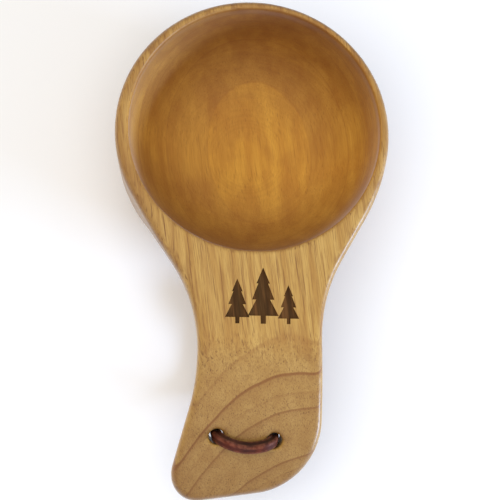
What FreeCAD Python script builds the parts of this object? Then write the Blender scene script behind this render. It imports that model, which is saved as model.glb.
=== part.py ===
# Kuksa: a drinking cup carved from one block of wood, with a leather carrying lace.
# Millimetres. +Z is up, the handle runs along -Y, and the origin is the centre of the flat foot.
import FreeCAD, Part
import math
import os

V = FreeCAD.Vector
UP = V(0, 0, 1)

# Bowl
rim_height = 46.0          # flat top of the rim and of the handle's root
bowl_radius = 48.0         # outside of the wall, upright above its widest point
foot_radius = 29.0
collar_radius = 8.5        # hollow curve that carries the bowl into the handle's underside
wall_step = 0.15           # the turned wall meets the leaning sides this far inside them
cavity_radius = 43.9       # mouth of the bowl
cavity_depth = 37.0
cavity_fullness = 2.4      # 2 would be an ellipse, more is a fuller corner between wall and floor
cavity_stations = (0, 8, 25, 45, 65, 82, 90)      # where its curve is set out, from the mouth to the floor
cavity_centre = V(0.7, 0.9, 0)     # a little off the outside's axis, so the rim is uneven

# Handle, in plan: the corners of its outline, and the radii that round them
left_neck = V(-17.7, -62.3, 0)
left_waist = V(-19.6, -90.2, 0)
tip_corner = V(-31.3, -129.2, 0)
heel_corner = V(24.4, -121.6, 0)
right_neck = V(23.7, -58.4, 0)
neck_bend = 55.0
waist_bend = 60.0
tip_bend = 9.5
heel_bend = 24.5
shoulder_reach = 12.5      # length over which each flank leaves the bowl's circle
left_shoulder_angle = 208.0
right_shoulder_angle = 351.0
side_lean = 0.05           # the sides lean in below the rim, by this much for each millimetre down

# Handle, from the side
neck_thickness = 12.5
drop_start_y = -74.0       # the top is flat to here, then falls away in one arc
drop_radius = 93.0
under_radius = 103.0       # the flatter arc underneath thins the handle towards its tip

# Edges
top_round = 2.6
under_round = 4.0
foot_round = 2.5
mouth_round = 0.8

# Lace holes, square to the top of the handle
hole_radius = 2.7
drill_above = 6.0
drill_below = 18.0
left_hole = V(-11.8, -106.4, 0)
right_hole = V(7.7, -107.5, 0)

# Burned mark on the handle's root: three fir trees, each a trunk under stacked tiers
mark_depth = 0.3
mark_foot_y = -68.6
trees = [(-5.4, 15.5), (3.4, 19.5), (12.0, 13.5)]    # place along X, height
tier_widths = (1.0, 0.72, 0.44)      # from the lowest tier to the top one
notch_share = 0.45         # how wide a tier is at its top, over its width at its foot
tree_slimness = 0.27       # half width of the lowest tier over the height
trunk_slimness = 0.045
trunk_share = 0.14         # of the height, below the lowest tier

# Lace: a round-edged leather thong, up through one hole and down through the other
lace_diameter = 3.8
lace_above = 3.4           # how far it stands out of a hole before it turns
lace_below = 17.3
bridge_sag = 3.1           # how far it bows towards the handle's tip between the holes
bridge_rise = 2.4
left_run = [V(-2.4, -62.5, 4.6), V(-8.0, -73.5, 2.1), V(-12.4, -86.0, 2.2), V(-12.8, -96.6, 8.5)]
right_run = [V(2.4, -62.5, 4.6), V(6.8, -73.5, 2.1), V(9.6, -86.6, 2.1), V(10.1, -97.5, 8.0)]
arc_share = 0.45           # of a run, that the arc at its end may take up

# Knot that joins the lace's ends, on the ground in line with the handle, and its two tails
knot_radius = 6.5
knot_length = 13.0
knot_round = 4.5
knot_start = V(0, -65.0, knot_radius)
left_tail = [V(-2.2, -55.9, 4.5), V(-3.0, -50.0, 3.1), V(-4.6, -43.0, 2.0)]
right_tail = [V(2.2, -55.9, 4.5), V(3.0, -50.0, 3.1), V(6.0, -43.0, 2.0)]

# Modelling
spare = 5.0                # how far a block reaches past the shapes that trim it
touching = 1e-3            # nearer than this is the same place


def flat(angle_deg):
    """Unit vector in plan."""
    angle = math.radians(angle_deg)
    return V(math.cos(angle), math.sin(angle), 0)


def reach_for(before, corner, after, radius):
    """How far from a corner an arc of this radius starts."""
    half = (before - corner).getAngle(after - corner) / 2
    return radius / math.tan(half)


def corner_arc(before, corner, after, reach):
    """Arc that rounds a corner, starting reach away from it on both sides."""
    towards_before = (before - corner).normalize()
    towards_after = (after - corner).normalize()
    half = towards_before.getAngle(towards_after) / 2
    inwards = (towards_before + towards_after).normalize()
    middle = corner + inwards * (reach / math.cos(half) - reach * math.tan(half))
    return Part.Arc(corner + towards_before * reach, middle, corner + towards_after * reach)


def rounded_path(points, reaches):
    """Straight runs joined by tangent arcs. The first and last points get no arc."""
    edges = []
    here = points[0]
    for i, reach in enumerate(reaches):
        arc = corner_arc(points[i], points[i + 1], points[i + 2], reach)
        if (arc.StartPoint - here).Length > touching:
            edges.append(Part.LineSegment(here, arc.StartPoint).toShape())
        edges.append(arc.toShape())
        here = arc.EndPoint
    if (points[-1] - here).Length > touching:
        edges.append(Part.LineSegment(here, points[-1]).toShape())
    return edges


def turned(edges, axis_point=V(0, 0, 0)):
    """Solid of revolution about an upright axis."""
    return Part.Face(Part.Wire(edges)).revolve(axis_point, UP, 360)


def line(a, b):
    return Part.LineSegment(a, b).toShape()


def outline_block():
    """The whole cup's plan outline, as a block up to the rim with sides that lean in towards the ground."""
    left_start = flat(left_shoulder_angle) * bowl_radius
    right_end = flat(right_shoulder_angle) * bowl_radius
    left_shoulder = left_start + flat(left_shoulder_angle + 90) * shoulder_reach
    right_shoulder = right_end - flat(right_shoulder_angle + 90) * shoulder_reach
    corners = [left_start, left_shoulder, left_neck, left_waist, tip_corner,
               heel_corner, right_neck, right_shoulder, right_end]
    radii = [neck_bend, waist_bend, tip_bend, heel_bend, neck_bend]
    bends = [reach_for(*corners[i + 1:i + 4], radius) for i, radius in enumerate(radii)]
    handle_edges = rounded_path(corners, [shoulder_reach, *bends, shoulder_reach])
    bowl_edge = Part.Arc(right_end, V(0, bowl_radius, 0), left_start).toShape()
    rim = Part.Wire([bowl_edge, *handle_edges])
    foot = Part.Face(rim).makeOffset2D(-side_lean * rim_height).OuterWire
    rim.translate(UP * rim_height)
    return Part.makeLoft([foot, rim], True, True)


def bowl_block():
    """Outside of the bowl: foot, round wall, and the hollow curve that leads into the handle."""
    foot_edge = V(foot_radius, 0, 0)
    below_rim = neck_thickness + collar_radius
    widest = V(bowl_radius - side_lean * below_rim - wall_step, 0, rim_height - below_rim)
    overhang = widest.x - foot_edge.x
    wall_radius = (overhang ** 2 + widest.z ** 2) / (2 * overhang)
    wall_centre = widest - V(wall_radius, 0, 0)
    wall_middle = wall_centre + (flat(0) - UP).normalize() * wall_radius
    collar_centre = widest + V(collar_radius, 0, 0)
    collar_middle = collar_centre + (UP - flat(0)).normalize() * collar_radius
    collar_end = collar_centre + UP * collar_radius
    outer_top = V(collar_end.x, 0, rim_height)
    middle_top = V(0, 0, rim_height)
    return turned([
        line(V(0, 0, 0), foot_edge),
        Part.Arc(foot_edge, wall_middle, widest).toShape(),
        Part.Arc(widest, collar_middle, collar_end).toShape(),
        line(collar_end, outer_top),
        line(outer_top, middle_top),
        line(middle_top, V(0, 0, 0)),
    ])


def arc_height(y, start_height, radius):
    """Height of an arc that leaves the level at drop_start_y."""
    return start_height - radius + math.sqrt(radius ** 2 - (y - drop_start_y) ** 2)


def handle_block():
    """Side view of the handle, wider than its outline."""
    root_y = -cavity_radius / 2
    end_y = tip_corner.y - spare
    half_width = bowl_radius + spare
    under = rim_height - neck_thickness

    def falling_arc(start_height, radius):
        points = [V(-half_width, y, arc_height(y, start_height, radius))
                  for y in (drop_start_y, (drop_start_y + end_y) / 2, end_y)]
        return Part.Arc(*points)

    top = falling_arc(rim_height, drop_radius)
    bottom = falling_arc(under, under_radius)
    root_top = V(-half_width, root_y, rim_height)
    root_bottom = V(-half_width, root_y, under)
    wire = Part.Wire([
        line(root_top, top.StartPoint),
        top.toShape(),
        line(top.EndPoint, bottom.EndPoint),
        bottom.toShape(),
        line(bottom.StartPoint, root_bottom),
        line(root_bottom, root_top),
    ])
    return Part.Face(wire).extrude(V(2 * half_width, 0, 0))


def cavity():
    """Inside of the bowl, turned about its own axis, with a little of the air above the rim."""
    def wall_point(turn_deg):
        turn = math.radians(turn_deg)
        across = math.cos(turn) ** (2 / cavity_fullness) * cavity_radius
        down = math.sin(turn) ** (2 / cavity_fullness) * cavity_depth
        return cavity_centre + V(across, 0, rim_height - down)

    wall = Part.BSplineCurve()
    wall.interpolate(Points=[wall_point(a) for a in cavity_stations],
                     InitialTangent=V(0, 0, -1), FinalTangent=V(-1, 0, 0))
    mouth = wall.StartPoint
    above = UP * spare
    floor_middle = wall.EndPoint
    top_middle = V(floor_middle.x, floor_middle.y, mouth.z) + above
    return turned([
        line(top_middle, mouth + above),
        line(mouth + above, mouth),
        wall.toShape(),
        line(floor_middle, top_middle),
    ], cavity_centre)


def on_top(place):
    """Point on the handle's top face above a place in plan, and the direction square to it."""
    point = V(place.x, place.y, arc_height(place.y, rim_height, drop_radius))
    drop_centre = V(place.x, drop_start_y, rim_height - drop_radius)
    return point, (point - drop_centre).normalize()


def lace_hole(place):
    """Drill for one hole, longer than the handle is thick."""
    point, outwards = on_top(place)
    return Part.makeCylinder(hole_radius, drill_below + drill_above, point - outwards * drill_below, outwards)


def fir_tree(x, height):
    """Cutter for one fir tree: a trunk, then tiers that narrow towards the top."""
    trunk_top = height * trunk_share
    trunk_half = height * trunk_slimness
    tier_height = (height - trunk_top) / len(tier_widths)
    right_side = [(trunk_half, 0), (trunk_half, trunk_top)]
    for tier, width in enumerate(tier_widths):
        foot = trunk_top + tier * tier_height
        half = height * tree_slimness * width
        right_side.append((half, foot))
        right_side.append((half * notch_share, foot + tier_height))
    right_side[-1] = (0, height)
    left_side = [(-across, up) for across, up in reversed(right_side[:-1])]
    corners = [V(x + across, mark_foot_y + up, rim_height - mark_depth)
               for across, up in right_side + left_side]
    return Part.Face(Part.makePolygon(corners + corners[:1])).extrude(UP * 2 * mark_depth)


def sampled(edge):
    """Points near an edge's two ends and at its middle."""
    span = edge.LastParameter - edge.FirstParameter
    return [edge.valueAt(edge.FirstParameter + span * share) for share in (0.02, 0.5, 0.98)]


def rim_and_under_edges(block, sides):
    """The block's outer edges on top and underneath, without the upright seams between its sides."""
    top_edges = []
    under_edges = []
    for edge in block.Edges:
        points = sampled(edge)
        span = points[-1] - points[0]
        upright = math.hypot(span.x, span.y) < 0.2 * abs(span.z)
        off_sides = max(sides.distToShape(Part.Vertex(point))[0] for point in points)
        if upright or off_sides > touching:
            continue
        middle = points[1]
        level = arc_height(min(middle.y, drop_start_y), rim_height, drop_radius)
        if middle.z > level - touching:
            top_edges.append(edge)
        else:
            under_edges.append(edge)
    return top_edges, under_edges


def ring_edges(shape, centre, radius):
    """The shape's level round edges of one radius about a centre."""
    found = []
    for edge in shape.Edges:
        points = [] if edge.Degenerated else sampled(edge)
        arms = [point - centre for point in points]
        if arms and all(abs(arm.z) < touching and abs(arm.Length - radius) < touching for arm in arms):
            found.append(edge)
    return found


def cup_body():
    """The whole wooden piece."""
    outline = outline_block()
    sides = Part.Compound([face for face in outline.Faces if face.BoundBox.ZLength > rim_height / 2])
    block = bowl_block().fuse(handle_block()).common(outline).removeSplitter()
    block = block.makeFillet(top_round, rim_and_under_edges(block, sides)[0])
    block = block.makeFillet(under_round, rim_and_under_edges(block, sides)[1])
    block = block.makeFillet(foot_round, ring_edges(block, V(0, 0, 0), foot_radius))
    cup = block.cut(cavity())
    cup = cup.makeFillet(mouth_round, ring_edges(cup, cavity_centre + UP * rim_height, cavity_radius))
    for place in (left_hole, right_hole):
        cup = cup.cut(lace_hole(place))
    for x, height in trees:
        cup = cup.cut(fir_tree(x, height))
    return cup.Solids[0]


def lace_route():
    """Corners of the lace's route: from the knot, up one hole, over, down the other, and back."""
    left_top, left_up = on_top(left_hole)
    right_top, right_up = on_top(right_hole)
    downhill = V(0, -left_up.z, left_up.y)
    bridge = (left_top + right_top) / 2 + downhill * bridge_sag + left_up * bridge_rise
    return [
        *left_run,
        left_top - left_up * lace_below,
        left_top + left_up * lace_above,
        bridge,
        right_top + right_up * lace_above,
        right_top - right_up * lace_below,
        *reversed(right_run),
    ]


def tube(points, diameter, label):
    """Round tube along straight runs joined by arcs as large as the runs allow."""
    reaches = []
    for before, corner, after in zip(points, points[1:], points[2:]):
        reach = arc_share * min((corner - before).Length, (after - corner).Length)
        half = (before - corner).getAngle(after - corner) / 2
        reaches.append(reach)
        turn = 180 - math.degrees(2 * half)
        print(f"{label}: turn {turn:.0f} degrees, radius {reach * math.tan(half):.1f}")
    path = Part.Wire(rounded_path(points, reaches))
    start_direction = points[1] - points[0]
    ring = Part.Wire(Part.makeCircle(diameter / 2, points[0], start_direction))
    solid = path.makePipeShell([ring], True, True).Solids[0]
    section = math.pi * (diameter / 2) ** 2
    print(f"{label}: length {path.Length:.1f}, volume over section times length "
          f"{solid.Volume / (section * path.Length):.4f}")
    return solid


def knot(lace):
    """Overhand knot as a rounded barrel that takes both ends of the lace, with its two tails."""
    barrel = Part.makeCylinder(knot_radius, knot_length, knot_start, V(0, 1, 0))
    barrel = barrel.makeFillet(knot_round, barrel.Edges)
    for tail in (left_tail, right_tail):
        barrel = barrel.fuse(tube(tail, lace_diameter, "lace_knot tail"))
    return barrel.cut(lace).Solids[0]


body = cup_body()
lace = tube(lace_route(), lace_diameter, "carry_lace")
pieces = {"cup_body": body, "carry_lace": lace, "lace_knot": knot(lace)}

os.makedirs("parts", exist_ok=True)
for name, shape in pieces.items():
    print(name, shape.isValid(), f"{shape.Volume:.0f} mm3, centre of mass {shape.CenterOfMass}")
    shape.exportStep(f"parts/{name}.step")
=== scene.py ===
import math

import bpy
import numpy as np
from mathutils import Matrix, Vector


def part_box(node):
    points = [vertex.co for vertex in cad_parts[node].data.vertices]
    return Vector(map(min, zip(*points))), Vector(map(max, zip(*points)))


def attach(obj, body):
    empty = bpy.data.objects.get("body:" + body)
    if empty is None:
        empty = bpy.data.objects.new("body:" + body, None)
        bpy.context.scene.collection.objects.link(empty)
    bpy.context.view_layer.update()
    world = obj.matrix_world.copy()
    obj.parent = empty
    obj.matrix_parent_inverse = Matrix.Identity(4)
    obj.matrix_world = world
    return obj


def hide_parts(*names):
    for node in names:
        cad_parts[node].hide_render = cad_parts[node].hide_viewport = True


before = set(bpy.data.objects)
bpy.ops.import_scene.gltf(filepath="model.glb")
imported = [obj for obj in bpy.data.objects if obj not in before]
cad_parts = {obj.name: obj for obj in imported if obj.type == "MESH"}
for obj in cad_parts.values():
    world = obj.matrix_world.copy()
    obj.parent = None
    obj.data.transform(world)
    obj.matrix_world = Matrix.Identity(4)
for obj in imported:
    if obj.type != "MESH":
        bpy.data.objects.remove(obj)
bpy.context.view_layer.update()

MM = 0.001

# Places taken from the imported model
cup_low, cup_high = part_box("cup_body")
rim_z = cup_high.z
bowl_radius = cup_high.y

# Shape of the bowl's hollow and the handle, as designed
cavity_radius = 43.9 * MM
cavity_depth = 37.0 * MM
cavity_fullness = 2.4             # 2 is half an ellipse, and more is fuller towards the corner
cavity_x = 0.7 * MM
cavity_y = 0.9 * MM
drop_start_y = -74.0 * MM         # from here the handle's top falls away in an arc
drop_radius = 93.0 * MM
left_hole = (-11.8 * MM, -106.4 * MM)
right_hole = (7.7 * MM, -107.5 * MM)


# ---------------------------------------------------------------- camera

def aim_camera():
    """Looks down on the cup from the handle's side, with +Y up in the picture."""
    distance = 0.6
    elevation = math.radians(75.5)
    azimuth = math.radians(-18)
    middle_y = (cup_low.y + cup_high.y) / 2
    target = Vector((-1.1 * MM, middle_y - 3.8 * MM, rim_z))
    back = Vector((math.sin(azimuth) * math.cos(elevation),
                   -math.cos(azimuth) * math.cos(elevation),
                   math.sin(elevation)))
    right = (-back).cross(Vector((0, 1, 0))).normalized()
    up = right.cross(-back)
    data = bpy.data.cameras.new("camera")
    data.sensor_width = 36
    data.lens = 126.8
    camera = bpy.data.objects.new("camera", data)
    place = target + back * distance
    camera.matrix_world = Matrix.Translation(place) @ Matrix((right, up, back)).transposed().to_4x4()
    bpy.context.scene.collection.objects.link(camera)
    bpy.context.scene.camera = camera


# ---------------------------------------------------------------- node helpers

class Nodes:
    """Short calls for building one material's node tree."""

    def __init__(self, name):
        self.material = bpy.data.materials.new(name)
        self.material.use_nodes = True
        self.tree = self.material.node_tree
        self.tree.nodes.clear()
        self.shader = self.add("ShaderNodeBsdfPrincipled")
        output = self.add("ShaderNodeOutputMaterial")
        self.tree.links.new(self.shader.outputs[0], output.inputs["Surface"])

    def add(self, kind, **settings):
        node = self.tree.nodes.new(kind)
        for key, value in settings.items():
            setattr(node, key, value)
        return node

    def put(self, socket, value):
        """Links a socket to another, or sets it to a value."""
        if isinstance(value, bpy.types.NodeSocket):
            self.tree.links.new(value, socket)
        else:
            socket.default_value = value

    def put_all(self, node, *values):
        """Puts values into a node's first sockets, in order."""
        for socket, value in zip(node.inputs, values):
            self.put(socket, value)
        return node

    def surface(self, **values):
        """Puts values into the shader, by socket name with _ for spaces."""
        for name, value in values.items():
            self.put(self.shader.inputs[name.replace("_", " ")], value)

    def math(self, operation, *values, clamp=False):
        node = self.add("ShaderNodeMath", operation=operation, use_clamp=clamp)
        return self.put_all(node, *values).outputs[0]

    def times(self, a, b):
        return self.math("MULTIPLY", a, b)

    def vector(self, *parts):
        return self.put_all(self.add("ShaderNodeCombineXYZ"), *parts).outputs[0]

    def vector_math(self, operation, *values, output="Vector"):
        node = self.add("ShaderNodeVectorMath", operation=operation)
        return self.put_all(node, *values).outputs[output]

    def parts(self, vector):
        """A vector's X, Y and Z."""
        return self.put_all(self.add("ShaderNodeSeparateXYZ"), vector).outputs

    def here(self, kind="Object"):
        """Place on the piece, or its Normal."""
        return self.add("ShaderNodeTexCoord").outputs[kind]

    def attribute(self, name):
        """A mesh attribute's value."""
        return self.add("ShaderNodeAttribute", attribute_name=name).outputs["Fac"]

    def stretched(self, vector, scale, shift=(0, 0, 0)):
        """The same place, measured in units of its own along each axis."""
        node = self.add("ShaderNodeMapping")
        self.put(node.inputs["Vector"], vector)
        node.inputs["Scale"].default_value = scale
        node.inputs["Location"].default_value = shift
        return node.outputs[0]

    def noise(self, vector, detail=2.0, roughness=0.5, output="Fac"):
        node = self.add("ShaderNodeTexNoise")
        self.put(node.inputs["Vector"], vector)
        node.inputs["Scale"].default_value = 1.0
        node.inputs["Detail"].default_value = detail
        node.inputs["Roughness"].default_value = roughness
        return node.outputs[output]

    def cells(self, vector):
        node = self.add("ShaderNodeTexVoronoi", feature="F1")
        self.put(node.inputs["Vector"], vector)
        node.inputs["Scale"].default_value = 1.0
        return node

    def between(self, value, low, high, to_low=0.0, to_high=1.0, smooth=True):
        """Maps low..high to to_low..to_high, held at the ends."""
        node = self.add("ShaderNodeMapRange", interpolation_type="SMOOTHSTEP" if smooth else "LINEAR")
        node.clamp = True
        for name, number in (("Value", value), ("From Min", low), ("From Max", high),
                             ("To Min", to_low), ("To Max", to_high)):
            self.put(node.inputs[name], number)
        return node.outputs["Result"]

    def ramp(self, value, stops):
        node = self.add("ShaderNodeValToRGB")
        elements = node.color_ramp.elements
        while len(elements) > 1:
            elements.remove(elements[-1])
        elements[0].position = stops[0][0]
        elements[0].color = stops[0][1]
        for place, colour in stops[1:]:
            elements.new(place).color = colour
        self.put(node.inputs[0], value)
        return node.outputs[0]

    def mix(self, share, a, b, blend="MIX"):
        node = self.add("ShaderNodeMix", data_type="RGBA", blend_type=blend)
        self.put(node.inputs["Factor"], share)
        self.put(node.inputs[6], a)      # the two colour sockets share the names A and B with others
        self.put(node.inputs[7], b)
        return node.outputs[2]

    def tinted(self, share, colour, tint):
        """The colour, multiplied by a tint where share is 1."""
        return self.mix(share, colour, self.mix(1.0, colour, tint, "MULTIPLY"))

    def bump(self, height, depth):
        """A bump of that real depth in metres where height goes from 0 to 1."""
        node = self.add("ShaderNodeBump")
        node.inputs["Distance"].default_value = depth
        self.put(node.inputs["Height"], height)
        return node.outputs[0]


def rgb(red, green, blue):
    """Linear colour from the 0 to 255 numbers that a screen shows."""
    def linear(level):
        share = level / 255
        return share / 12.92 if share <= 0.04045 else ((share + 0.055) / 1.055) ** 2.4
    return (linear(red), linear(green), linear(blue), 1.0)


# ---------------------------------------------------------------- wood

grain_lean = math.radians(-6.9)      # the grain isn't quite in line with the handle
pith_x = 3.4                         # the tree's centre line: across, and below the foot (mm)
pith_depth = 45.0
bend_start = drop_start_y / MM       # beyond here, towards the handle's tip, the grain dips and swings
bend_round = 6.0                     # how gently it begins to (mm)
grain_dip = 0.31
ring_swing = 0.30
bowl_swing = 5.6                     # how far the tree's centre line lies to the side by the bowl (mm)
ring_sway = 0.45                     # how far a growth line wanders (mm)
heart_radius = 59.5                  # the wood inside this is paler on the bowl's floor, and is also used for a painted highlight (mm)
heart_edge = 0.3
widest_pore = 0.26                   # from its middle (mm)
ring_lines_at = [                    # growth lines: radius (mm) and how dark
    (47.5, 0.4), (51.2, 0.35), (54.6, 0.3), (59.6, 0.5), (62.8, 0.3), (66.4, 0.35), (69.3, 0.25),
    (71.8, 0.8), (77.0, 0.15), (81.3, 0.75), (84.0, 0.25), (86.9, 1.0), (90.9, 0.35),
    (94.6, 0.3), (97.8, 0.35), (101.4, 0.3), (105.0, 0.3)]

band_colours = [(0.0, rgb(180, 134, 64)), (0.5, rgb(195, 153, 79)), (1.0, rgb(208, 168, 92))]
char_colours = [(0.30, rgb(40, 22, 12)), (0.52, rgb(62, 38, 20)), (0.70, rgb(104, 68, 38))]
ring_brown = rgb(140, 80, 30)
streak_brown = rgb(138, 90, 38)
fibre_brown = rgb(140, 92, 42)
vessel_brown = rgb(112, 66, 28)
pore_brown = rgb(104, 60, 24)
turned_brown = rgb(120, 70, 24)
cloud_brown = rgb(150, 96, 40)
# paler heart of the wood, also used as a painted highlight on the far side of the bowl's floor
heart_and_highlight_tint = (1.19, 1.23, 1.12, 1)
end_grain_tint = (0.47, 0.41, 0.50, 1)
square_cut_tint = (1.0, 0.95, 0.72, 1)
round_the_bowl_tint = (0.84, 0.77, 0.75, 1)
inside_tint = (1.07, 0.88, 0.41, 1)
char_share = 0.94
lathe_line_share = 0.09
wood_relief = 0.05 * MM              # from the fibres down into the pores


class Wood(Nodes):
    """Varnished hardwood cut from one log. Each with_ step puts one more thing on the colour so far."""

    def __init__(self, name):
        super().__init__(name)
        self.inside = self.attribute("inside")
        self.contrast = self.out_or_in(1.0, 0.4)      # how clearly fine grain shows
        self.grain, self.beyond = self.place_in_log()
        self.along = self.parts(self.grain)["Y"]

    def out_or_in(self, outside, inside):
        """One value on the cup's outside, another inside the bowl."""
        return self.between(self.inside, 0.0, 1.0, outside, inside)

    def place_in_log(self):
        """Millimetres across the grain, along it and up from the pith, and a second value, beyond.

        Beyond is 0 up to the bend, and minus the millimetres past it.
        """
        node = self.add("ShaderNodeMapping")
        self.put(node.inputs["Vector"], self.here())
        node.inputs["Scale"].default_value = (1 / MM, 1 / MM, 1 / MM)
        node.inputs["Rotation"].default_value = (0, 0, grain_lean)
        node.inputs["Location"].default_value = (-pith_x, 0, pith_depth)
        past_start = self.math("MULTIPLY_ADD", self.parts(self.here())["Y"], 1 / MM, -bend_start)
        beyond = self.math("SMOOTH_MIN", past_start, 0.0, bend_round)
        dip = self.vector(0.0, 0.0, self.times(beyond, grain_dip))
        return self.vector_math("ADD", node.outputs[0], dip), beyond

    def ring_radius(self):
        """Distance from the pith, a little uneven."""
        spread = (2 * ring_sway, 0, 2 * ring_sway)
        middle = (-ring_sway, 0, -ring_sway)
        sway = self.noise(self.stretched(self.grain, (0.07, 0.02, 0.07)), output="Color")
        sway = self.vector_math("MULTIPLY_ADD", sway, spread, middle)
        swing = self.math("MULTIPLY_ADD", self.beyond, ring_swing, self.times(self.inside, -bowl_swing))
        place = self.vector_math("ADD", self.grain, sway)
        place = self.vector_math("ADD", place, self.vector(swing, 0.0, 0.0))
        return self.vector_math("LENGTH", self.vector_math("MULTIPLY", place, (1, 0, 1)), output="Value")

    def ring_lines(self, radius):
        """0 to 1: a faint darkening up to each growth line, the line itself, then a sharp end."""
        fade_from, fade_to, fade_dark = 1.8, 0.2, 0.45      # how far short of the line (mm), how dark
        line_from, line_to, line_dark = 0.45, 0.15, 0.65
        end_width = 0.18
        total = 0.0
        for place, dark in ring_lines_at:
            fade = self.between(radius, place - fade_from, place - fade_to,
                                0.0, fade_dark * dark, smooth=False)
            line = self.between(radius, place - line_from, place - line_to, 0.0, line_dark * dark)
            end = self.between(radius, place, place + end_width, 1.0, 0.0)
            total = self.math("ADD", total, self.times(self.math("ADD", fade, line), end))
        return total

    def end_grain_share(self):
        """0 where the surface lies along the grain, 1 where it cuts square across it."""
        normal = self.here("Normal")
        level = (math.sin(-grain_lean), math.cos(grain_lean), 0)
        level = self.vector_math("DOT_PRODUCT", normal, level, output="Value")
        dip = self.times(self.parts(normal)["Z"], self.between(self.beyond, -10.0, 4.0, grain_dip, 0.0))
        return self.math("ABSOLUTE", self.math("SUBTRACT", level, dip))

    def lathe_lines(self):
        """0 to 1 in uneven rings about the bowl's axis, and 0 outside the bowl."""
        here = self.parts(self.here())
        across = self.math("SUBTRACT", here["X"], cavity_x)
        along = self.math("SUBTRACT", here["Y"], cavity_y)
        reach = self.math("SQRT", self.math("ADD", self.times(across, across), self.times(along, along)))
        rings = self.vector(self.times(reach, 1 / MM), self.times(here["Z"], 1 / MM), 0.0)
        return self.times(self.between(self.noise(rings, detail=3.0, roughness=0.6), 0.35, 0.65), self.inside)

    def pores(self):
        """Up to 1 in open pores of many sizes, cut lengthwise where the surface runs along the grain."""
        cells = self.cells(self.stretched(self.grain, (1.0, 0.09, 1.0)))
        size = self.add("ShaderNodeSeparateColor")
        self.put(size.inputs[0], cells.outputs["Color"])
        reach = self.between(size.outputs[0], 0.2, 1.0, 0.0, widest_pore, smooth=False)
        share = self.math("DIVIDE", cells.outputs["Distance"], self.math("MAXIMUM", reach, 0.001))
        nearness = self.math("SUBTRACT", 1.0, share, clamp=True)
        return self.times(self.between(nearness, 0.0, 0.6), self.contrast)

    def broad_bands(self):
        """Long bands of paler and browner wood, quieter at the handle's tip and in the bowl."""
        bands = self.noise(self.stretched(self.grain, (0.22, 0.018, 0.22)), detail=3.0, roughness=0.55)
        strength = self.times(self.between(self.beyond, -14.0, 0.0, 0.4, 1.0), self.out_or_in(1.0, 0.55))
        bands = self.math("MULTIPLY_ADD", self.math("SUBTRACT", bands, 0.5), strength, 0.5)
        return self.ramp(self.between(bands, 0.30, 0.70), band_colours)

    def with_rings(self, colour):
        """Growth lines, and the paler heart on the bowl's floor: partly the wood's real paler heart, partly a
        painted highlight that is strongest away from the handle.
        """
        radius = self.ring_radius()
        lines = self.times(self.ring_lines(radius), self.out_or_in(0.7, 0.27))
        colour = self.mix(lines, colour, ring_brown)
        heart = self.between(radius, heart_radius - heart_edge, heart_radius + heart_edge, 1.0, 0.0)
        heart = self.times(heart, self.inside)
        # painted highlight: the heart is brightened towards the far side of the bowl's floor, where the
        # ceiling's reflection falls
        heart = self.times(heart, self.between(self.along, -30.0, 10.0, 0.3, 1.0))
        return self.tinted(heart, colour, heart_and_highlight_tint)

    def with_streaks(self, colour):
        streaks = self.noise(self.stretched(self.grain, (1.1, 0.05, 1.1)), detail=3.0, roughness=0.6)
        share = self.between(streaks, 0.50, 0.68, 0.0, 0.5)
        share = self.times(share, self.between(self.beyond, -12.0, 0.0, 0.45, 1.0))
        return self.mix(self.times(share, self.out_or_in(1.0, 0.15)), colour, streak_brown)

    def with_fibres(self, colour, fibres):
        share = self.between(fibres, 0.40, 0.75, 0.0, 0.6)
        return self.mix(self.times(share, self.contrast), colour, fibre_brown)

    def with_vessels(self, colour):
        """Thin dark lines along the grain."""
        vessels = self.noise(self.stretched(self.grain, (2.6, 0.045, 2.6), (7.0, 3.0, 1.0)), detail=1.0)
        share = self.between(vessels, 0.63, 0.71, 0.0, 0.68)
        return self.mix(self.times(share, self.contrast), colour, vessel_brown)

    def with_pores(self, colour, pores):
        share = self.times(pores, self.between(self.beyond, -10.0, 0.0, 0.3, 0.5))
        return self.mix(share, colour, pore_brown)

    def with_clouds(self, colour):
        """Soft patches inside the bowl, where the wood took the varnish unevenly."""
        place = self.stretched(self.grain, (0.10, 0.06, 0.10), (3.0, 1.0, 5.0))
        clouds = self.noise(place, detail=4.0, roughness=0.55)
        share = self.times(self.inside, self.between(clouds, 0.42, 0.62, 0.0, 0.28))
        return self.mix(share, colour, cloud_brown)

    def with_varnish(self, colour):
        """Deeper where end grain drinks it up, browner round the bowl, and thicker inside it."""
        end_grain = self.end_grain_share()
        colour = self.tinted(end_grain, colour, end_grain_tint)
        round_the_bowl = self.between(self.along, -45.0, -15.0)
        round_the_bowl = self.times(round_the_bowl, self.math("SUBTRACT", 1.0, self.inside))
        round_the_bowl = self.times(round_the_bowl, self.math("SUBTRACT", 1.0, end_grain))
        colour = self.tinted(round_the_bowl, colour, round_the_bowl_tint)
        colour = self.tinted(self.between(end_grain, 0.72, 1.0), colour, square_cut_tint)
        return self.tinted(self.inside, colour, inside_tint)

    def with_char(self, colour):
        """Burned nearly all the way to char, in streaks along the grain."""
        streaks = self.noise(self.stretched(self.grain, (0.9, 0.05, 0.9)), detail=3.0, roughness=0.6)
        return self.mix(char_share, colour, self.ramp(streaks, char_colours))


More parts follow.
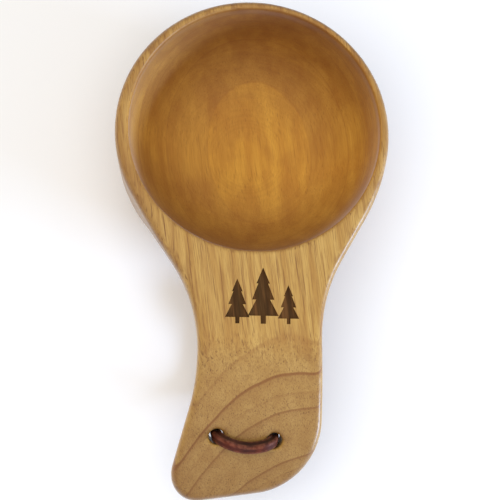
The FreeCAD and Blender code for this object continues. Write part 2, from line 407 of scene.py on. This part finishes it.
def wood(name, burned=False):
    """Varnished wood, or the same wood burned dark and left without varnish."""
    n = Wood(name)
    fibres = n.noise(n.stretched(n.grain, (3.2, 0.13, 3.2)), detail=3.0, roughness=0.65)
    pores = n.pores()
    turning = n.lathe_lines()
    colour = n.with_rings(n.broad_bands())
    colour = n.with_streaks(colour)
    colour = n.with_fibres(colour, fibres)
    colour = n.with_vessels(colour)
    colour = n.with_pores(colour, pores)
    colour = n.mix(n.times(turning, lathe_line_share), colour, turned_brown)
    colour = n.with_clouds(colour)
    colour = n.with_varnish(colour)
    if burned:
        colour = n.with_char(colour)
    height = n.math("SUBTRACT", n.times(fibres, 0.35), n.math("ADD", pores, n.times(turning, 0.3)))
    n.surface(Base_Color=colour,
              Roughness=n.between(fibres, 0.3, 0.7, 0.58, 0.68),
              Specular_IOR_Level=n.out_or_in(0.1, 0.5),
              Normal=n.bump(height, wood_relief))
    if not burned:
        # varnish, which use has dulled in the bowl: that shows where the wall is seen edge on
        n.surface(Coat_Weight=n.out_or_in(1.0, 0.3),
                  Coat_Roughness=n.out_or_in(0.33, 0.43),
                  Sheen_Weight=n.times(n.inside, 0.5),
                  Sheen_Roughness=0.32,
                  Sheen_Tint=(1.0, 0.95, 1.0, 1))
    return n.material


# ---------------------------------------------------------------- leather

shaded_grain_leather = [(0.3, rgb(38, 18, 14)), (0.55, rgb(54, 26, 19)), (0.75, rgb(72, 35, 25))]
lit_cut_leather = [(0.3, rgb(56, 20, 10)), (0.55, rgb(74, 26, 12)), (0.75, rgb(96, 38, 19))]
worn_leather = rgb(140, 82, 58)
leather_relief = 0.03 * MM


def leather():
    """Oiled brown leather: dark smooth sides, redder and rougher where the thong was cut; on the lace's
    bridge the two colours also stand for painted shade on the face turned up the slope and painted light on
    the face turned down it.
    """
    n = Nodes("lace leather")
    place = n.here()
    mottle = n.noise(n.stretched(place, (260, 260, 260)), detail=3.0)
    lit_cut_side = n.attribute("lit_cut_side")
    # painted shade and light: on the bridge the dark pair of faces is the one turned up the slope, the red
    # pair the one turned down it
    colour = n.mix(lit_cut_side, n.ramp(mottle, shaded_grain_leather), n.ramp(mottle, lit_cut_leather))
    worn = n.noise(n.stretched(place, (700, 700, 700)))
    rubbed = n.times(n.attribute("edge"), n.between(worn, 0.35, 0.65, 0.1, 0.5))
    colour = n.mix(rubbed, colour, worn_leather)
    grain = n.cells(n.stretched(place, (2600, 2600, 2600)))
    n.surface(Base_Color=colour,
              Roughness=n.between(lit_cut_side, 0.0, 1.0, 0.42, 0.6),
              Specular_IOR_Level=0.25,
              Normal=n.bump(grain.outputs["Distance"], leather_relief))
    return n.material


# ---------------------------------------------------------------- cup

def new_piece(name, mesh, *materials):
    piece = bpy.data.objects.new(name, mesh)
    bpy.context.scene.collection.objects.link(piece)
    for material in materials:
        mesh.materials.append(material)
    return piece


def applied(piece):
    """The mesh that a piece's modifiers make, with none left on it."""
    graph = bpy.context.evaluated_depsgraph_get()
    mesh = bpy.data.meshes.new_from_object(piece.evaluated_get(graph))
    piece.modifiers.clear()
    piece.data = mesh
    return mesh


def points_of(mesh):
    places = np.empty(len(mesh.vertices) * 3)
    mesh.vertices.foreach_get("co", places)
    return places.reshape(-1, 3)


def soften(mesh, weight, rounds):
    """Moves each point up to halfway to the middle of its neighbours, by its weight, in each round."""
    furthest = 0.5
    places = points_of(mesh)
    count = len(places)
    edges = np.empty(len(mesh.edges) * 2, dtype=np.int64)
    mesh.edges.foreach_get("vertices", edges)
    first, second = edges.reshape(-1, 2).T
    neighbours = np.bincount(first, minlength=count) + np.bincount(second, minlength=count)
    share = furthest * weight(places)[:, None]
    for _ in range(rounds):
        sums = np.stack([np.bincount(first, places[second, k], count)
                         + np.bincount(second, places[first, k], count) for k in range(3)], axis=1)
        places = places + share * (sums / neighbours[:, None] - places)
    mesh.vertices.foreach_set("co", places.ravel())
    mesh.update()


def smooth_step(value, low, high):
    share = np.clip((value - low) / (high - low), 0, 1)
    return share * share * (3 - 2 * share)


def everywhere(places):
    return np.ones(len(places))


def under_handle(places):
    """1 below the handle and where it meets the bowl, 0 on top, at the holes, inside and at the foot."""
    x, y, z = places.T
    drop = np.maximum(drop_start_y - y, 0)
    top = rim_z - drop_radius + np.sqrt(drop_radius ** 2 - drop ** 2)
    below_top = smooth_step(top - z, 5 * MM, 9 * MM)
    above_foot = smooth_step(z, 7 * MM, 16 * MM)
    outside = smooth_step(np.hypot(x, y), bowl_radius - 8 * MM, bowl_radius - 4 * MM)
    short_of_holes = smooth_step(y, left_hole[1] + 5 * MM, left_hole[1] + 13 * MM)
    return below_top * above_foot * outside * short_of_holes


def in_cavity(places):
    """1 on the cavity's walls and floor, 0 elsewhere."""
    x, y, z = places.T
    reach = np.hypot(x - cavity_x, y - cavity_y) / cavity_radius
    down = np.clip((rim_z - z) / cavity_depth, 0, None)
    outwards = reach ** cavity_fullness + down ** cavity_fullness
    just_outside = 1.08      # outwards is 1 on the designed wall, and the softened wall lies near it
    return smooth_step(just_outside - outwards, 0, 0.05) * smooth_step(down, 0, 0.02)


mark_foot_y = -68.6 * MM
mark_depth = 0.3 * MM
trees = [(-5.4 * MM, 15.5 * MM), (3.4 * MM, 19.5 * MM), (12.0 * MM, 13.5 * MM)]     # place along X, height
mark_patch_x = (-11 * MM, 17 * MM)                  # a patch of the top with room for all three
mark_patch_y = (mark_foot_y - 1 * MM, -48 * MM)


def fir_tree_outline(x, height):
    """Corners of one fir tree, going round it: a trunk, then three tiers that narrow towards the top."""
    tier_widths = (1.0, 0.72, 0.44)
    notch_share = 0.45
    trunk_top = height * 0.14
    trunk_half = height * 0.045
    lowest_tier_half = height * 0.27
    tier_height = (height - trunk_top) / len(tier_widths)
    right_side = [(trunk_half, 0), (trunk_half, trunk_top)]
    for tier, width in enumerate(tier_widths):
        foot = trunk_top + tier * tier_height
        half = lowest_tier_half * width
        right_side.append((half, foot))
        right_side.append((half * notch_share, foot + tier_height))
    right_side[-1] = (0, height)
    left_side = [(-across, up) for across, up in reversed(right_side[:-1])]
    return [(x + across, mark_foot_y + up) for across, up in right_side + left_side]


def tree_cutter(x, height):
    """One fir tree as an upright prism that reaches from the mark's depth to just above the top."""
    outline = fir_tree_outline(x, height)
    count = len(outline)
    vertices = [(*corner, rim_z - mark_depth) for corner in outline]
    vertices += [(*corner, rim_z + mark_depth) for corner in outline]
    faces = [tuple(reversed(range(count))), tuple(range(count, 2 * count))]
    for k in range(count):
        following = (k + 1) % count
        faces.append((k, following, count + following, count + k))
    mesh = bpy.data.meshes.new("tree_cutter")
    mesh.from_pydata(vertices, [], faces)
    return new_piece("tree_cutter", mesh)


def by_the_mark(x, y):
    across = (x > mark_patch_x[0]) & (x < mark_patch_x[1])
    return across & (y > mark_patch_y[0]) & (y < mark_patch_y[1])


def flatten_for_mark(mesh):
    """Makes the top truly flat again where the mark goes."""
    places = points_of(mesh)
    x, y, z = places.T
    near_top = np.abs(z - rim_z) < 0.7 * MM
    places[by_the_mark(x, y) & near_top, 2] = rim_z
    mesh.vertices.foreach_set("co", places.ravel())


def burn_mark(piece):
    """Cuts the fir trees into the top and gives the cut its own material."""
    for x, height in trees:
        cutter = tree_cutter(x, height)
        cut = piece.modifiers.new("mark", "BOOLEAN")
        cut.object = cutter
        cut.operation = "DIFFERENCE"
        cut.solver = "MANIFOLD"
        mesh = applied(piece)
        bpy.data.objects.remove(cutter)
    mesh.materials.clear()
    mesh.materials.append(wood("varnished wood"))
    mesh.materials.append(wood("burned mark", burned=True))
    deepest = rim_z - 1.1 * mark_depth
    highest = rim_z - 0.2 * mark_depth
    for face in mesh.polygons:
        x, y, z = face.center
        face.material_index = 1 if deepest < z < highest and by_the_mark(x, y) else 0


def make_cup():
    """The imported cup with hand-softened edges, a blended underside and the burned mark."""
    piece = new_piece("carved_cup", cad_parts["cup_body"].data.copy())
    piece.data.materials.clear()
    remesh = piece.modifiers.new("even skin", "REMESH")
    remesh.mode = "VOXEL"
    remesh.voxel_size = 0.8 * MM
    mesh = applied(piece)
    soften(mesh, everywhere, rounds=3)
    soften(mesh, under_handle, rounds=90)
    flatten_for_mark(mesh)
    burn_mark(piece)
    mesh = piece.data
    inside = mesh.attributes.new("inside", "FLOAT", "POINT")
    inside.data.foreach_set("value", in_cavity(points_of(mesh)))
    mesh.polygons.foreach_set("use_smooth", [True] * len(mesh.polygons))
    mesh.set_sharp_from_angle(angle=math.radians(40))
    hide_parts("cup_body")
    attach(piece, "root")


# ---------------------------------------------------------------- lace

lace_side = 3.4 * MM
lace_corner_round = 0.85 * MM


def top_of_handle(x, y):
    """Point on the handle's top face, and the direction square to it."""
    drop = drop_start_y - y
    centre = Vector((x, drop_start_y, rim_z - drop_radius))
    point = Vector((x, y, rim_z - drop_radius + math.sqrt(drop_radius ** 2 - drop ** 2)))
    return point, (point - centre).normalized()


def lace_route():
    """The route's points, from the knot, up one hole, over, down the other, and back."""
    left_top, left_up = top_of_handle(*left_hole)
    right_top, right_up = top_of_handle(*right_hole)
    clear_above = 3.4 * MM
    clear_below = 17.3 * MM
    across = (left_top + right_top) / 2
    downhill = Vector((0, -left_up.z, left_up.y))
    return [
        Vector((-2.4, -62.5, 4.6)) * MM,
        Vector((-8.0, -73.5, 2.1)) * MM,
        Vector((-12.4, -86.0, 2.2)) * MM,
        Vector((-12.8, -96.6, 8.5)) * MM,
        left_top - left_up * clear_below,
        left_top + left_up * clear_above,
        across + downhill * 3.1 * MM + left_up * 2.4 * MM,
        right_top + right_up * clear_above,
        right_top - right_up * clear_below,
        Vector((10.1, -97.5, 8.0)) * MM,
        Vector((9.6, -86.6, 2.1)) * MM,
        Vector((6.8, -73.5, 2.1)) * MM,
        Vector((2.4, -62.5, 4.6)) * MM,
    ]


def nurbs_line(points, steps):
    """Points along the smooth line that has these as its control points."""
    curve = bpy.data.curves.new("route", "CURVE")
    curve.dimensions = "3D"
    spline = curve.splines.new("NURBS")
    spline.points.add(len(points) - 1)
    for control, place in zip(spline.points, points):
        control.co = (*place, 1)
    spline.order_u = 3
    spline.use_endpoint_u = True
    spline.resolution_u = steps
    holder = bpy.data.objects.new("route", curve)
    bpy.context.scene.collection.objects.link(holder)
    mesh = bpy.data.meshes.new_from_object(holder)
    line = [vertex.co.copy() for vertex in mesh.vertices]
    bpy.data.objects.remove(holder)
    return line


def thong_section(side, corner_round):
    """Square with rounded corners, one of them straight up.

    Each point is across, up, 1 at a corner, and 1 on the two cut sides, which are coloured lighter and
    redder, partly as painted light.
    """
    corner_steps = 5
    section = []
    reach = (side / 2 - corner_round) * math.sqrt(2)
    for quarter in range(4):
        middle = 90 * quarter
        centre = Vector((math.cos(math.radians(middle)), math.sin(math.radians(middle)))) * reach
        for step in range(corner_steps):
            turn = math.radians(middle - 45 + 90 * step / (corner_steps - 1))
            place = centre + Vector((math.cos(turn), math.sin(turn))) * corner_round
            # 1 on the faces drawn lighter and redder: the cut sides, and also painted light where the lace
            #                                          crosses the top
            cut = (quarter + (1 if step > corner_steps // 2 else 0)) % 2
            section.append((place.x, place.y, 1.0, float(cut)))
        out = math.radians(middle + 45)
        following = math.radians(middle + 90)
        there = Vector((math.cos(following), math.sin(following))) * reach
        for share in (0.25, 0.5, 0.75):
            place = centre.lerp(there, share) + Vector((math.cos(out), math.sin(out))) * corner_round
            section.append((place.x, place.y, 0.0, float((quarter + 1) % 2)))
    return section


def carried(line, start, step, up):
    """The line's direction and the up direction at each point from start on, carried without twisting."""
    found = {}
    i = start
    while 0 <= i < len(line):
        along = (line[min(i + 1, len(line) - 1)] - line[max(i - 1, 0)]).normalized()
        up = (up - along * up.dot(along)).normalized()
        found[i] = (along, up)
        i += step
    return found


def sweep(line, section, up, up_at):
    """Vertices, faces and marks of a closed tube along a line. up is the up direction at point up_at."""
    frames = {**carried(line, up_at, -1, up), **carried(line, up_at, 1, up)}
    vertices, faces = [], []
    for i, place in enumerate(line):
        along, over = frames[i]
        side = along.cross(over)
        vertices += [place + side * across + over * high for across, high, _, _ in section]
    count = len(section)
    for i in range(len(line) - 1):
        for k in range(count):
            a, b = i * count + k, i * count + (k + 1) % count
            faces.append((a, a + count, b + count, b))
    faces.append(tuple(range(count)))
    faces.append(tuple(reversed(range((len(line) - 1) * count, len(line) * count))))
    return vertices, faces, [point[2:] for point in section] * len(line)


def thong_mesh(name, tubes):
    """One mesh of several tubes."""
    vertices, faces, marks = [], [], []
    for tube_vertices, tube_faces, tube_marks in tubes:
        faces += [tuple(k + len(vertices) for k in face) for face in tube_faces]
        vertices += tube_vertices
        marks += tube_marks
    mesh = bpy.data.meshes.new(name)
    mesh.from_pydata(vertices, [], faces)
    for number, attribute in enumerate(("edge", "lit_cut_side")):
        values = mesh.attributes.new(attribute, "FLOAT", "POINT")
        values.data.foreach_set("value", [mark[number] for mark in marks])
    mesh.polygons.foreach_set("use_smooth", [True] * len(mesh.polygons))
    mesh.set_sharp_from_angle(angle=math.radians(60))
    return mesh


def make_lace(material):
    """The lace's piece, and the line that its middle follows."""
    line = nurbs_line(lace_route(), steps=18)
    section = thong_section(lace_side, lace_corner_round)
    facing_up = Vector((0, -0.06, 1))
    tube = sweep(line, section, facing_up, up_at=len(line) // 2)
    piece = new_piece("leather_lace", thong_mesh("leather_lace", [tube]), material)
    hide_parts("carry_lace")
    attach(piece, "root")
    return piece, line


def make_knot(material):
    """Overhand knot tied in both ends of the lace at once, with two short tails."""
    unit = 2.35 * MM      # one unit of the turns below, along and across
    strand_side = 3.2 * MM
    strand_corner_round = 1.0 * MM
    strand_offset = 1.5 * MM      # each strand lies this far to its side of the line between the two
    middle = Vector((0, -58.3, 5.2)) * MM
    high, low = 2.2 * MM, -2.2 * MM
    turns = [     # along the handle, across it, height
        (-2.9, 1.1, 0), (-1.9, 1.7, high), (-1.2, 0.6, high), (0.0, -1.1, low),
        (1.2, -2.2, 0), (2.3, -1.8, 0), (2.2, -0.4, high), (1.3, 1.1, high),
        (0.0, 2.3, 0), (-1.3, 1.1, low), (-2.2, -0.4, 0), (-2.3, -1.8, 0),
        (-1.2, -2.2, 0), (0.0, -1.1, high), (1.2, 0.6, low), (1.9, 1.7, 0), (2.9, 1.1, 0)]
    centre_line = [middle + Vector((across * unit, along * unit, height)) for along, across, height in turns]
    tubes = []
    for side in (-1, 1):
        strand = [Vector((side * 3.4, -64.5, 4.4)) * MM]
        for i, place in enumerate(centre_line):
            along = centre_line[min(i + 1, len(centre_line) - 1)] - centre_line[max(i - 1, 0)]
            beside = Vector((-along.y, along.x, 0)).normalized()
            strand.append(place - beside * side * strand_offset)
        strand.append(Vector((side * -2.2 + 0.6, -48.0, 2.6)) * MM)
        strand.append(Vector((side * -5.3 + 0.7, -43.6 - 0.7 * side, 2.0)) * MM)
        line = nurbs_line(strand, steps=6)
        section = thong_section(strand_side, strand_corner_round)
        tubes.append(sweep(line, section, Vector((0.5, 0, 1)), up_at=0))
    piece = new_piece("tied_knot", thong_mesh("tied_knot", tubes), material)
    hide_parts("lace_knot")
    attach(piece, "root")
    return piece


# ---------------------------------------------------------------- floor and light

def make_floor():
    """A broad pale floor at the height of the cup's foot."""
    n = Nodes("pale floor")
    n.surface(Base_Color=(0.965, 0.96, 0.955, 1), Roughness=0.8, Specular_IOR_Level=0.1)
    half = 12.0
    corners = [(-half, -half, 0), (half, -half, 0), (half, half, 0), (-half, half, 0)]
    mesh = bpy.data.meshes.new("floor")
    mesh.from_pydata(corners, [], [(0, 1, 2, 3)])
    new_piece("floor", mesh, n.material)


def area_light(name, place, aim, size, power, colour):
    data = bpy.data.lights.new(name, "AREA")
    data.shape = "RECTANGLE"
    data.size, data.size_y = size
    data.energy = power
    data.color = colour
    light = bpy.data.objects.new(name, data)
    light.location = place
    light.rotation_euler = (Vector(aim) - Vector(place)).to_track_quat("-Z", "Y").to_euler()
    bpy.context.scene.collection.objects.link(light)
    return light


def light_studio():
    """White surroundings, a low bluish window on the right and a broad ceiling that isn't mirrored."""
    world = bpy.data.worlds.new("studio")
    world.use_nodes = True
    background = world.node_tree.nodes["Background"]
    background.inputs["Color"].default_value = (1.0, 1.0, 1.0, 1)
    background.inputs["Strength"].default_value = 0.5
    bpy.context.scene.world = world
    area_light("window", place=(0.88, -0.38, 0.25), aim=(0, -0.03, 0.03), size=(0.5, 0.1),
               power=10.5, colour=(0.51, 0.68, 1.0))
    ceiling = area_light("ceiling", place=(-0.3, -0.24, 1.12), aim=(0, -0.04, 0), size=(1.4, 1.4),
                         power=10.5, colour=(1.0, 0.97, 0.93))
    ceiling.visible_glossy = False


bpy.context.scene.view_settings.view_transform = "Standard"
aim_camera()
leather_material = leather()
lace, lace_line = make_lace(leather_material)
knot = make_knot(leather_material)
make_cup()
make_floor()
light_studio()
